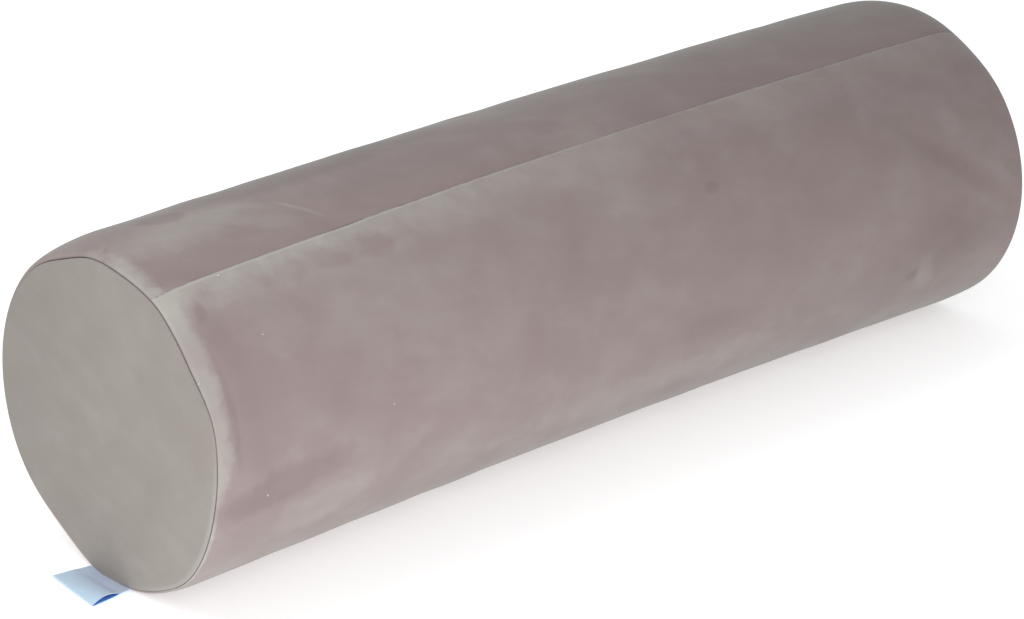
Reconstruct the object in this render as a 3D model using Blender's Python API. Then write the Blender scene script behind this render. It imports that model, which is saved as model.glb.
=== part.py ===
"""A bolster cushion: a firm filled roll in short-pile velvet, lying on its side.

The roll lies along X with its labelled end at -X, and +Z is up. The origin is the centre of the flat
that the roll rests on. Lengths are in metres. An angle round the roll is in degrees, counted from +Y,
the back, through +Z, the top, so the front is at 180 and the floor at -90.
"""

import math
from collections import namedtuple

import bmesh
import bpy

# Driving sizes of the filled roll
SEAM_TO_SEAM = 0.600
BODY_RADIUS = 0.0936
REST_FLAT_DEPTH = 0.0034
END_BOW = 0.0061

# Cloth, seams and the gap that sewn pieces keep
PANEL_THICKNESS = 0.0025
PANEL_CROWN = 0.0020
PIECE_GAP = 0.0003
LIP_WIDTH = 0.0007
LONG_SEAM_ANGLE = 115.5
LONG_SEAM_TWIST = -1.3
LONG_SEAM_HALF_WIDTH = 1.6
LONG_SEAM_DEPTH = 0.0009

# Folded ribbon label in the near end seam
LABEL_WIDTH = 0.0330
LABEL_REACH = 0.0241
LABEL_TURN = -2.8
LABEL_CENTRE_Y = 0.0007
LABEL_PLY = 0.0010
LABEL_BACK_LIFT = 0.0041
LABEL_ARCH_FRONT = 0.0036
LABEL_ARCH_BACK = 0.0005
LABEL_ARCH_LEAN = 0.75
LABEL_ROOT_GAP = 0.00035

# Mesh steps
COLUMNS_BETWEEN_SEAM = 60
SHOULDER_STEPS = 6
MIDDLE_STEPS = 31
DOME_RINGS = (0.45, 0.82)
LABEL_SLICES = 7
LABEL_LOWER_STEPS = 7
LABEL_FOLD_STEPS = 4
LABEL_UPPER_STEPS = 9

HALF_LENGTH = SEAM_TO_SEAM / 2
AXIS_HEIGHT = BODY_RADIUS - REST_FLAT_DEPTH
NEAR = -1
FAR = 1

# How an end panel's outline departs from a circle: each row draws the edge in (depth below zero: out)
OutlineDip = namedtuple("OutlineDip", "angle depth spread")

# An end of the roll: its panel's radius, how far the panel sits off the axis, the shoulder's length
RollEnd = namedtuple("RollEnd", "side radius shift_y shift_z shoulder dips")

NEAR_END = RollEnd(
    side=NEAR, radius=0.0886, shift_y=0.0, shift_z=0.0, shoulder=0.0309,
    dips=(
        OutlineDip(angle=35, depth=0.0011, spread=28),
        OutlineDip(angle=70, depth=0.0033, spread=15),
        OutlineDip(angle=100, depth=0.0019, spread=14),
        OutlineDip(angle=121, depth=-0.0013, spread=5),
        OutlineDip(angle=163, depth=-0.0050, spread=9),
        OutlineDip(angle=178, depth=-0.0020, spread=12),
        OutlineDip(angle=-150, depth=-0.0012, spread=16),
        OutlineDip(angle=-132, depth=-0.0027, spread=14),
        OutlineDip(angle=-108, depth=-0.0004, spread=14),
        OutlineDip(angle=-81, depth=-0.0010, spread=9),
        OutlineDip(angle=-59, depth=0.0057, spread=18),
    ),
)
FAR_END = RollEnd(
    side=FAR, radius=0.0876, shift_y=-0.0031, shift_z=-0.0030, shoulder=0.0232,
    dips=(
        OutlineDip(angle=-90, depth=0.0030, spread=30),
        OutlineDip(angle=118, depth=0.0026, spread=16),
    ),
)

# Soft creases pressed into the filling: a straight trough between two places (depth below zero: a ridge)
Crease = namedtuple("Crease", "x_from angle_from x_to angle_to depth half_width")
CREASES = (
    Crease(x_from=0.216, angle_from=149, x_to=0.281, angle_to=181, depth=0.0016, half_width=0.009),
    Crease(x_from=0.222, angle_from=163, x_to=0.268, angle_to=184, depth=-0.0008, half_width=0.008),
    Crease(x_from=0.226, angle_from=210, x_to=0.238, angle_to=192, depth=0.0008, half_width=0.009),
    Crease(x_from=-0.192, angle_from=93, x_to=-0.176, angle_to=109, depth=0.0008, half_width=0.007),
    Crease(x_from=-0.272, angle_from=130, x_to=-0.268, angle_to=182, depth=0.0007, half_width=0.008),
    Crease(x_from=-0.060, angle_from=40, x_to=0.010, angle_to=62, depth=0.0009, half_width=0.016),
)

# Broad, shallow hollows where the filling gives (depth below zero: a swell)
Hollow = namedtuple("Hollow", "x angle depth length width")
HOLLOWS = (
    Hollow(x=-0.200, angle=150, depth=0.0009, length=0.045, width=0.035),
    Hollow(x=-0.080, angle=195, depth=-0.0009, length=0.070, width=0.040),
    Hollow(x=0.060, angle=140, depth=0.0007, length=0.060, width=0.035),
    Hollow(x=0.170, angle=205, depth=0.0009, length=0.050, width=0.040),
    Hollow(x=0.120, angle=20, depth=0.0012, length=0.080, width=0.050),
    Hollow(x=-0.150, angle=-20, depth=0.0011, length=0.070, width=0.045),
)


def clear_scene():
    """Remove every object of the scene that the script starts in."""
    for item in list(bpy.data.objects):
        bpy.data.objects.remove(item, do_unlink=True)


def angle_apart(first, second):
    """Return the smallest turn in degrees from the second angle to the first, from -180 to 180."""
    return (first - second + 180) % 360 - 180


def bell(distance, spread):
    """Return a smooth hump that is 1 at no distance and dies away over the spread."""
    return math.exp(-((distance / spread) ** 2))


def panel_radius(end, angle):
    """Return the end panel's own outline radius at an angle round the roll."""
    drawn_in = sum(dip.depth * bell(angle_apart(angle, dip.angle), dip.spread) for dip in end.dips)
    return end.radius - drawn_in


def axis_shift_y(x):
    """Return how far the roll's axis bends towards the front at x, growing to its two ends."""
    return -END_BOW * (x / HALF_LENGTH) ** 2


def long_seam_angle(x):
    """Return the long seam's angle round the roll at x: it twists slightly from end to end."""
    return LONG_SEAM_ANGLE + LONG_SEAM_TWIST * x / HALF_LENGTH


def column_offsets():
    """Return the mesh columns' angles from the long seam, with one close to each side of it."""
    span = 360 - 2 * LONG_SEAM_HALF_WIDTH
    step = span / COLUMNS_BETWEEN_SEAM
    spread_out = [LONG_SEAM_HALF_WIDTH + step * index for index in range(COLUMNS_BETWEEN_SEAM + 1)]
    return [0.0] + spread_out


def column_angles(x):
    """Return the mesh columns' angles round the roll at x."""
    return [long_seam_angle(x) + offset for offset in column_offsets()]


def shoulder_fullness(end, x):
    """Return 0 at the end's seam, rising to 1 where its rounded shoulder meets the straight roll."""
    inward = min(HALF_LENGTH - end.side * x, end.shoulder)
    return math.sqrt(max(0.0, 1 - (1 - inward / end.shoulder) ** 2))


def crease_depth(x, angle):
    """Return how far the creases and hollows press the surface in at a place on the roll."""
    depth = 0.0
    for crease in CREASES:
        turn_to = math.radians(crease.angle_to - crease.angle_from) * BODY_RADIUS
        run_x = crease.x_to - crease.x_from
        along_x = x - crease.x_from
        along_turn = math.radians(angle_apart(angle, crease.angle_from)) * BODY_RADIUS
        share = (along_x * run_x + along_turn * turn_to) / (run_x ** 2 + turn_to ** 2)
        share = min(1.0, max(0.0, share))
        distance = math.hypot(along_x - share * run_x, along_turn - share * turn_to)
        depth += crease.depth * bell(distance, crease.half_width)
    for hollow in HOLLOWS:
        aside = math.radians(angle_apart(angle, hollow.angle)) * BODY_RADIUS
        depth += hollow.depth * bell(x - hollow.x, hollow.length) * bell(aside, hollow.width)
    return depth


def long_seam_groove(x, angle):
    """Return the long seam's depth: full on the seam, none at the columns beside it."""
    aside = abs(angle_apart(angle, long_seam_angle(x)))
    return LONG_SEAM_DEPTH * max(0.0, 1 - aside / LONG_SEAM_HALF_WIDTH)


def end_place(end, angle, radius):
    """Return y and z of a place in an end's seam plane, at a radius from the panel's centre."""
    turn = math.radians(angle)
    y = axis_shift_y(HALF_LENGTH) + end.shift_y + radius * math.cos(turn)
    z = AXIS_HEIGHT + end.shift_z + radius * math.sin(turn)
    return y, z


def body_place(x, angle):
    """Return the point of the velvet's outer face at x and an angle, flat on the floor below."""
    end = NEAR_END if x < 0 else FAR_END
    fullness = shoulder_fullness(end, x)
    lip_radius = panel_radius(end, angle) + PIECE_GAP + LIP_WIDTH
    radius = lip_radius + (BODY_RADIUS - lip_radius) * fullness
    radius -= (crease_depth(x, angle) + long_seam_groove(x, angle)) * fullness
    turn = math.radians(angle)
    y = axis_shift_y(x) + end.shift_y * (1 - fullness) + radius * math.cos(turn)
    z = AXIS_HEIGHT + end.shift_z * (1 - fullness) + radius * math.sin(turn)
    return x, y, max(z, 0.0)


def body_stations():
    """Return the x of each ring along the velvet, closer together over the rounded shoulders."""
    quarter = math.pi / 2
    near = [
        -HALF_LENGTH + NEAR_END.shoulder * (1 - math.cos(quarter * step / SHOULDER_STEPS))
        for step in range(SHOULDER_STEPS + 1)
    ]
    far = [
        HALF_LENGTH - FAR_END.shoulder * (1 - math.cos(quarter * step / SHOULDER_STEPS))
        for step in range(SHOULDER_STEPS, -1, -1)
    ]
    run = far[0] - near[-1]
    middle = [near[-1] + run * step / MIDDLE_STEPS for step in range(1, MIDDLE_STEPS)]
    return near + middle + far


def dome_x(end, depth, share):
    """Return x on a crowned end face that lies a depth inside the seam plane at its rim."""
    return end.side * (HALF_LENGTH - depth + PANEL_CROWN * (1 - share ** 2))


def end_ring(end, x, share, extra):
    """Return a ring in the panel's outline, at a share of its radius plus an extra width."""
    ring = []
    for angle in column_angles(end.side * HALF_LENGTH):
        y, z = end_place(end, angle, panel_radius(end, angle) * share + extra)
        ring.append((x, y, z))
    return ring


def recess_rings(end):
    """Return the rings of the shallow recess that holds an end panel, from its lip inwards."""
    depth = PANEL_THICKNESS + PIECE_GAP
    rings = [
        end_ring(end, end.side * HALF_LENGTH, 1.0, PIECE_GAP),
        end_ring(end, dome_x(end, depth, 1.0), 1.0, PIECE_GAP),
    ]
    for share in reversed(DOME_RINGS):
        rings.append(end_ring(end, dome_x(end, depth, share), share, 0.0))
    return rings


def end_centre(end, depth):
    """Return the middle point of a crowned end face."""
    y, z = end_place(end, 0.0, 0.0)
    return dome_x(end, depth, 0.0), y, z


def skin_rings(mesh, rings, first_point, last_point):
    """Join rings of equal count with quads and close both ends with a fan to a point."""
    rows = [[mesh.verts.new(point) for point in ring] for ring in rings]
    count = len(rows[0])
    for lower, upper in zip(rows, rows[1:]):
        for index in range(count):
            after = (index + 1) % count
            mesh.faces.new((lower[index], lower[after], upper[after], upper[index]))
    for row, point in ((rows[0], first_point), (rows[-1], last_point)):
        tip = mesh.verts.new(point)
        for index in range(count):
            mesh.faces.new((tip, row[index], row[(index + 1) % count]))


def fabric(name, colour, roughness):
    """Return a plain cloth material."""
    material = bpy.data.materials.new(name)
    material.use_nodes = True
    shader = material.node_tree.nodes["Principled BSDF"]
    shader.inputs["Base Color"].default_value = (*colour, 1.0)
    shader.inputs["Roughness"].default_value = roughness
    shader.inputs["Metallic"].default_value = 0.0
    shader.inputs["Sheen Weight"].default_value = 0.4
    return material


def finish_piece(name, mesh, material, sharp_angle):
    """Turn the mesh's faces outwards and put it in the scene as one named piece."""
    bmesh.ops.recalc_face_normals(mesh, faces=mesh.faces[:])
    data = bpy.data.meshes.new(name)
    mesh.to_mesh(data)
    mesh.free()
    data.shade_smooth()
    data.set_sharp_from_angle(angle=math.radians(sharp_angle))
    data.materials.append(material)
    piece = bpy.data.objects.new(name, data)
    bpy.context.scene.collection.objects.link(piece)
    return piece


def build_body(material):
    """Build the filled roll: the wrapped velvet, its shoulders, its long seam and its rest flat."""
    near_recess = recess_rings(NEAR_END)
    far_recess = recess_rings(FAR_END)
    wrapped = [[body_place(x, angle) for angle in column_angles(x)] for x in body_stations()]
    rings = near_recess[::-1] + wrapped + far_recess
    depth = PANEL_THICKNESS + PIECE_GAP
    mesh = bmesh.new()
    skin_rings(mesh, rings, end_centre(NEAR_END, depth), end_centre(FAR_END, depth))
    return finish_piece("body_roll", mesh, material, sharp_angle=50)


def build_end_panel(name, end, material):
    """Build one round end panel: a crowned disc of cloth let into the roll's end."""
    shares = DOME_RINGS + (1.0,)
    outer = [end_ring(end, dome_x(end, 0.0, share), share, 0.0) for share in shares]
    inner = [end_ring(end, dome_x(end, PANEL_THICKNESS, share), share, 0.0) for share in shares]
    mesh = bmesh.new()
    rings = outer + inner[::-1]
    skin_rings(mesh, rings, end_centre(end, 0.0), end_centre(end, PANEL_THICKNESS))
    return finish_piece(name, mesh, material, sharp_angle=50)


def seam_height(y):
    """Return the height of the near end seam above the floor, at y under the roll."""
    aside = (y - axis_shift_y(HALF_LENGTH)) / NEAR_END.radius
    angle = -90 + math.degrees(math.asin(aside))
    return end_place(NEAR_END, angle, panel_radius(NEAR_END, angle))[1]


def label_path(reach, root_height, fold_height, arch):
    """Return the loop's middle line as (outward, height) pairs, from the lower ply's root to the upper's.

    The lower ply runs straight out to the fold, and the upper ply comes back in an arch.
    """
    fold_radius = (LABEL_PLY + PIECE_GAP) / 2
    straight = reach - fold_radius - LABEL_PLY / 2
    path = []
    for step in range(LABEL_LOWER_STEPS + 1):
        share = step / LABEL_LOWER_STEPS
        middle = root_height + (fold_height - root_height) * share
        path.append((straight * share, middle - fold_radius))
    for step in range(1, LABEL_FOLD_STEPS):
        turn = math.pi * (step / LABEL_FOLD_STEPS - 0.5)
        path.append((
            straight + fold_radius * math.cos(turn),
            fold_height + fold_radius * math.sin(turn),
        ))
    for step in range(LABEL_UPPER_STEPS + 1):
        share = step / LABEL_UPPER_STEPS
        middle = fold_height + (root_height - fold_height) * share
        lift = arch * math.sin(math.pi * share ** LABEL_ARCH_LEAN)
        path.append((straight * (1 - share), middle + fold_radius + lift))
    return path


def offset_path(path, distance):
    """Return the path moved sideways by a distance, to its left as it is walked."""
    moved = []
    last = len(path) - 1
    for index, (out, height) in enumerate(path):
        before = path[max(0, index - 1)]
        after = path[min(last, index + 1)]
        run = after[0] - before[0]
        rise = after[1] - before[1]
        length = math.hypot(run, rise)
        moved.append((out - rise / length * distance, height + run / length * distance))
    return moved


def label_slice(across):
    """Return one slice of the label as (outer face points, inner face points), across the ribbon."""
    turn = math.radians(LABEL_TURN)
    root_x = -HALF_LENGTH - LABEL_ROOT_GAP
    fold_x = root_x - LABEL_REACH * math.cos(turn) + across * math.sin(turn)
    reach = (root_x - fold_x) / math.cos(turn)
    root_y = LABEL_CENTRE_Y + axis_shift_y(HALF_LENGTH) + across / math.cos(turn)
    toward_back = across / LABEL_WIDTH + 0.5
    arch = LABEL_ARCH_FRONT + (LABEL_ARCH_BACK - LABEL_ARCH_FRONT) * toward_back
    lowest_fold = LABEL_PLY + PIECE_GAP / 2
    fold_height = lowest_fold + LABEL_BACK_LIFT * toward_back
    root_height = max(lowest_fold, seam_height(root_y))
    path = label_path(reach, root_height, fold_height, arch)
    faces = []
    for distance in (-LABEL_PLY / 2, LABEL_PLY / 2):
        points = []
        for out, height in offset_path(path, distance):
            x = min(root_x, root_x - out * math.cos(turn))
            points.append((x, root_y + out * math.sin(turn), max(height, 0.0)))
        faces.append(points)
    return faces


def build_label(material):
    """Build the label: a ribbon folded in two, its two ends at the near end seam."""
    mesh = bmesh.new()
    slices = []
    for index in range(LABEL_SLICES):
        across = LABEL_WIDTH * (index / (LABEL_SLICES - 1) - 0.5)
        outer, inner = label_slice(across)
        slices.append([mesh.verts.new(point) for point in outer + inner[::-1]])
    count = len(slices[0])
    for near, far in zip(slices, slices[1:]):
        for index in range(count):
            after = (index + 1) % count
            mesh.faces.new((near[index], near[after], far[after], far[index]))
    for side in (slices[0], slices[-1]):
        for index in range(count // 2 - 1):
            opposite = count - 1 - index
            mesh.faces.new((side[index], side[index + 1], side[opposite - 1], side[opposite]))
    return finish_piece("label_loop", mesh, material, sharp_angle=40)


def main():
    """Build the bolster cushion's four pieces."""
    clear_scene()
    wrap_velvet = fabric("wrap_velvet", (0.295, 0.262, 0.256), 0.85)
    end_velvet = fabric("end_velvet", (0.330, 0.305, 0.285), 0.90)
    label_ribbon = fabric("label_ribbon", (0.560, 0.690, 0.860), 0.45)
    build_body(wrap_velvet)
    build_end_panel("end_panel_near", NEAR_END, end_velvet)
    build_end_panel("end_panel_far", FAR_END, end_velvet)
    build_label(label_ribbon)


main()
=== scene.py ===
"""The looks of a bolster cushion: a firm filled roll in short-pile velvet, lying on its side.

The roll lies along X with its labelled end at -X, and +Z is up. Lengths are in metres. An angle round
the roll is in degrees, counted from +Y, the back, through +Z, the top, so the front is at 180 and the
floor at -90. Cloth coordinates are u, the place along the roll, and v, the arc length round it from the
long seam towards the front.
"""

import logging
import math
from dataclasses import dataclass, field
from enum import Enum

import bpy
import numpy as np
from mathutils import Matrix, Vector


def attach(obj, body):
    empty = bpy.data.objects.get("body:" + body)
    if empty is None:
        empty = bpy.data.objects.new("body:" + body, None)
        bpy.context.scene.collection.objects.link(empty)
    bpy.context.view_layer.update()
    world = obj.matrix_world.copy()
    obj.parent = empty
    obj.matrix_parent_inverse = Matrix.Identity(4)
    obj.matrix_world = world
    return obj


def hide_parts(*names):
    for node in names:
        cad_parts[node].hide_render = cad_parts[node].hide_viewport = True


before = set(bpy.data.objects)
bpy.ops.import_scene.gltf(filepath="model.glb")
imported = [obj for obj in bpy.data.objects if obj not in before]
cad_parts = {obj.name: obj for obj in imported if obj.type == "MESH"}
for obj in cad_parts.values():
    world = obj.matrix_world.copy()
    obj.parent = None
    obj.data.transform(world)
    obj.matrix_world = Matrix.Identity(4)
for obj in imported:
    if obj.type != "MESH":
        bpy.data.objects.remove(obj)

Socket = bpy.types.NodeSocket
Triple = tuple[float, float, float]

LOG = logging.getLogger("bolster")
BODY = "root"
CLOTH_MAP = "cloth"
# Mesh attribute that carries the painted highlight on the end panels' lower front rim.
PAINTED_RIM_LIGHT = "painted_rim_light"
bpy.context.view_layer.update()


class End(Enum):
    """The two ends of the roll, each named by its side along X."""

    NEAR = -1
    FAR = 1


@dataclass(frozen=True)
class OutlineDip:
    """Where an end panel's outline departs from a circle (depth below zero: outwards)."""

    angle: float
    depth: float
    spread: float


def outline_dips(*rows: Triple) -> tuple[OutlineDip, ...]:
    """Return outline dips from rows of angle, depth and spread."""
    return tuple(OutlineDip(*row) for row in rows)


@dataclass(frozen=True)
class RollEnd:
    """An end of the roll: its panel's radius, how far the panel sits off the axis, and its shoulder."""

    end: End
    radius: float
    shift_y: float
    shift_z: float
    shoulder: float
    dips: tuple[OutlineDip, ...]

    @property
    def side(self) -> int:
        """Return -1 at the near end and 1 at the far end."""
        return self.end.value

    def panel_radius(self, angle: np.ndarray) -> np.ndarray:
        """Return the panel's own outline radius at angles round the roll."""
        drawn_in = sum(dip.depth * bell(angle_apart(angle, dip.angle), dip.spread) for dip in self.dips)
        return self.radius - drawn_in


@dataclass(frozen=True)
class Crease:
    """A soft straight trough pressed into the filling between two places (depth below zero: a ridge)."""

    x_from: float
    angle_from: float
    x_to: float
    angle_to: float
    depth: float
    half_width: float


@dataclass(frozen=True)
class Hollow:
    """A broad, shallow place where the filling gives (depth below zero: a swell)."""

    x: float
    angle: float
    depth: float
    length: float
    width: float


def angle_apart(first: np.ndarray, second: np.ndarray) -> np.ndarray:
    """Return the smallest turn in degrees from the second angle to the first, from -180 to 180."""
    return (first - second + 180.0) % 360.0 - 180.0


def bell(distance: np.ndarray, spread: float) -> np.ndarray:
    """Return a smooth hump that is 1 at no distance and dies away over the spread."""
    return np.exp(-((distance / spread) ** 2))


@dataclass(frozen=True)
class Ripple:
    """Slight unevenness of taut cloth: a seeded sum of soft waves that closes round the roll."""

    height: float
    shortest: float
    longest: float
    count: int
    seed: int

    def height_at(self, x: np.ndarray, angle: np.ndarray, radius: float) -> np.ndarray:
        """Return the ripple's height at places on the roll.

        Args:
            x: places along the roll.
            angle: angles round the roll, in degrees.
            radius: the roll's radius, which turns a wave length into waves a turn.

        Returns:
            The height out of the surface, in metres.
        """
        rng = np.random.default_rng(self.seed)
        total = np.zeros(np.broadcast(x, angle).shape)
        for _ in range(self.count):
            length = rng.uniform(self.shortest, self.longest)
            heading = rng.uniform(0.0, 2.0 * math.pi)
            phase = rng.uniform(0.0, 2.0 * math.pi)
            waves_x = math.cos(heading) * 2.0 * math.pi / length
            waves_a_turn = round(math.sin(heading) * 2.0 * math.pi * radius / length)
            total += np.cos(waves_x * x + waves_a_turn * np.radians(angle) + phase)
        return self.height * total / math.sqrt(self.count)


@dataclass(frozen=True)
class RollForm:
    """The filled roll's shape: what the velvet, the end panels, the seams and the label all follow."""

    seam_to_seam: float = 0.600
    radius: float = 0.0936
    rest_flat_depth: float = 0.0034
    rest_flat_blend: float = 0.0004
    end_bow: float = 0.0061
    panel_crown: float = 0.0020
    panel_depth: float = 0.0028
    piece_gap: float = 0.0003
    lip_width: float = 0.0007
    long_seam_angle: float = 114.2
    long_seam_twist: float = -2.3
    long_seam_bow: float = 1.6
    near: RollEnd = RollEnd(
        end=End.NEAR, radius=0.0886, shift_y=0.0, shift_z=0.0, shoulder=0.0309,
        dips=outline_dips(
            (35, 0.0011, 28), (70, 0.0033, 15), (100, 0.0019, 14), (121, -0.0006, 6), (146, 0.002, 16),
            (162, -0.0036, 13), (180, -0.001, 12), (-150, -0.0012, 16), (-132, -0.0027, 14),
            (-108, -0.0004, 14), (-81, -0.001, 9), (-59, 0.0057, 18),
        ),
    )
    far: RollEnd = RollEnd(
        end=End.FAR, radius=0.0876, shift_y=-0.0031, shift_z=-0.0030, shoulder=0.0232,
        dips=outline_dips(
            (-90, 0.003, 30), (118, 0.0026, 16),
        ),
    )
    creases: tuple[Crease, ...] = tuple(Crease(*row) for row in (
        (0.216, 149, 0.281, 181, 0.0009, 0.009),
        (0.222, 163, 0.268, 184, -0.0004, 0.008),
        (0.226, 210, 0.238, 192, 0.0008, 0.009),
        (-0.192, 93, -0.176, 109, 0.0008, 0.007),
        (-0.272, 130, -0.268, 182, 0.0007, 0.008),
        (-0.06, -22, 0.01, 0, 0.0009, 0.016),
    ))
    hollows: tuple[Hollow, ...] = tuple(Hollow(*row) for row in (
        (-0.2, 150, 0.0009, 0.045, 0.035),
        (-0.08, 195, -0.0009, 0.07, 0.04),
        (0.06, 140, 0.0007, 0.06, 0.035),
        (0.17, 205, 0.0009, 0.05, 0.04),
        (0.12, -8, 0.0012, 0.08, 0.045),
        (-0.15, -20, 0.0011, 0.07, 0.045),
    ))

    @property
    def half_length(self) -> float:
        """Return the distance from the roll's middle to either end seam."""
        return self.seam_to_seam / 2.0

    @property
    def axis_height(self) -> float:
        """Return the height of the roll's axis above what it rests on."""
        return self.radius - self.rest_flat_depth

    def at(self, end: End) -> RollEnd:
        """Return the roll's near or far end."""
        return self.near if end is End.NEAR else self.far

    def axis_shift_y(self, x: np.ndarray) -> np.ndarray:
        """Return how far the roll's axis bends towards the front at x, growing to its two ends."""
        return -self.end_bow * (x / self.half_length) ** 2

    def seam_angle(self, x: np.ndarray) -> np.ndarray:
        """Return the long seam's angle round the roll at x."""
        share = x / self.half_length
        return self.long_seam_angle + self.long_seam_twist * share + self.long_seam_bow * share ** 2

    def fullness(self, end: RollEnd, x: np.ndarray) -> np.ndarray:
        """Return 0 at the end's seam, rising to 1 where its rounded shoulder meets the straight roll."""
        inward = np.clip(self.half_length - end.side * x, 0.0, end.shoulder)
        return np.sqrt(np.maximum(0.0, 1.0 - (1.0 - inward / end.shoulder) ** 2))

    def pressed_in(self, x: np.ndarray, angle: np.ndarray) -> np.ndarray:
        """Return how far the creases and hollows press the surface in at places on the roll."""
        depth = np.zeros(np.broadcast(x, angle).shape)
        for crease in self.creases:
            turn_to = math.radians(crease.angle_to - crease.angle_from) * self.radius
            run_x = crease.x_to - crease.x_from
            along_x = x - crease.x_from
            along_turn = np.radians(angle_apart(angle, crease.angle_from)) * self.radius
            share = (along_x * run_x + along_turn * turn_to) / (run_x ** 2 + turn_to ** 2)
            share = np.clip(share, 0.0, 1.0)
            distance = np.hypot(along_x - share * run_x, along_turn - share * turn_to)
            depth += crease.depth * bell(distance, crease.half_width)
        for hollow in self.hollows:
            aside = np.radians(angle_apart(angle, hollow.angle)) * self.radius
            depth += hollow.depth * bell(x - hollow.x, hollow.length) * bell(aside, hollow.width)
        return depth

    def rest_height(self, height: np.ndarray) -> np.ndarray:
        """Return heights with all below the floor pressed up to it, turning softly into the flat."""
        return 0.5 * (height + np.sqrt(height ** 2 + self.rest_flat_blend ** 2))

    def surface(self, x: np.ndarray, angle: np.ndarray, proud: np.ndarray = 0.0) -> np.ndarray:
        """Return points of the velvet's outer face.

        Args:
            x: places along the roll.
            angle: angles round the roll, in degrees.
            proud: how far the points stand out of the plain form, before the floor presses them flat.

        Returns:
            The points, with y and z worked out from the form, along a new last axis.
        """
        x, angle, proud = np.broadcast_arrays(x, angle, proud)
        turn = np.radians(angle)
        halves = []
        for end in (self.near, self.far):
            full = self.fullness(end, x)
            lip = end.panel_radius(angle) + self.piece_gap + self.lip_width
            reach = lip + (self.radius - lip) * full + (proud - self.pressed_in(x, angle)) * full
            y = self.axis_shift_y(x) + end.shift_y * (1.0 - full) + reach * np.cos(turn)
            z = self.axis_height + end.shift_z * (1.0 - full) + reach * np.sin(turn)
            halves.append(np.stack([x, y, self.rest_height(z)], axis=-1))
        return np.where((x < 0)[..., None], halves[0], halves[1])

    def end_ring(self, end: RollEnd, angle: np.ndarray, x: float, share: float, extra: float) -> np.ndarray:
        """Return a ring in an end panel's outline.

        Args:
            end: the end of the roll.
            angle: the angles of the ring's points, in degrees.
            x: the ring's place along the roll.
            share: its share of the panel's radius.
            extra: a width added to that.

        Returns:
            The ring's points.
        """
        reach = end.panel_radius(angle) * share + extra
        y = self.axis_shift_y(self.half_length) + end.shift_y + reach * np.cos(np.radians(angle))
        z = self.axis_height + end.shift_z + reach * np.sin(np.radians(angle))
        return np.stack([np.full_like(y, x), y, np.maximum(z, 0.0)], axis=-1)

    def dome_x(self, end: RollEnd, depth: float, share: float) -> float:
        """Return x on a crowned end face that lies a depth inside the seam plane at its rim."""
        return end.side * (self.half_length - depth + self.panel_crown * (1.0 - share ** 2))


ROLL = RollForm()


class MeshMaker:
    """Turns rings of points into closed skins and objects."""

    @staticmethod
    def skin(rings: np.ndarray, first_tip: np.ndarray, last_tip: np.ndarray) -> tuple[np.ndarray, list]:
        """Join rings of equal count with quads and close both ends with a fan.

        Args:
            rings: points as (ring, column, 3).
            first_tip: the point that closes the first ring.
            last_tip: the point that closes the last ring.

        Returns:
            The points and the faces.
        """
        count, columns = rings.shape[:2]
        points = np.concatenate([rings.reshape(-1, 3), [first_tip], [last_tip]])
        here = np.arange(columns)
        after = (here + 1) % columns
        faces = []
        for ring in range(count - 1):
            low, high = ring * columns, (ring + 1) * columns
            quads = np.stack([low + here, low + after, high + after, high + here], axis=-1)
            faces.extend(quads.tolist())
        top = count * columns
        last = (count - 1) * columns
        faces.extend([top, int(second), int(first)] for first, second in zip(here, after))
        faces.extend([last + int(first), last + int(second), top + 1] for first, second in zip(here, after))
        return points, faces

    @staticmethod
    def mesh(name: str, points: np.ndarray, faces: list, flip: bool = False) -> bpy.types.Mesh:
        """Return a smooth mesh of points and faces, turned inside out where flip is set."""
        data = bpy.data.meshes.new(name)
        turned = [face[::-1] for face in faces] if flip else faces
        data.from_pydata(np.asarray(points).tolist(), [], turned)
        data.validate()
        data.shade_smooth()
        data.update()
        return data

    @staticmethod
    def place(name: str, data: bpy.types.Mesh) -> bpy.types.Object:
        """Put a mesh in the scene as an object at the origin."""
        piece = bpy.data.objects.new(name, data)
        bpy.context.scene.collection.objects.link(piece)
        return piece

    @staticmethod
    def read(items: object, field_name: str) -> np.ndarray:
        """Return one whole number of each item of a mesh, such as its corners' points."""
        values = np.zeros(len(items), dtype=np.int64)
        items.foreach_get(field_name, values)
        return values

    @staticmethod
    def map_cloth(data: bpy.types.Mesh, places: np.ndarray) -> None:
        """Give a mesh its cloth coordinates, one (u, v) for each face corner."""
        layer = data.uv_layers.new(name=CLOTH_MAP)
        layer.data.foreach_set("uv", np.asarray(places, dtype=np.float32).ravel())


def log_piece(piece: bpy.types.Object) -> None:
    """Log how many faces a piece has."""
    LOG.info("%s: %d faces", piece.name, len(piece.data.polygons))


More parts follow.
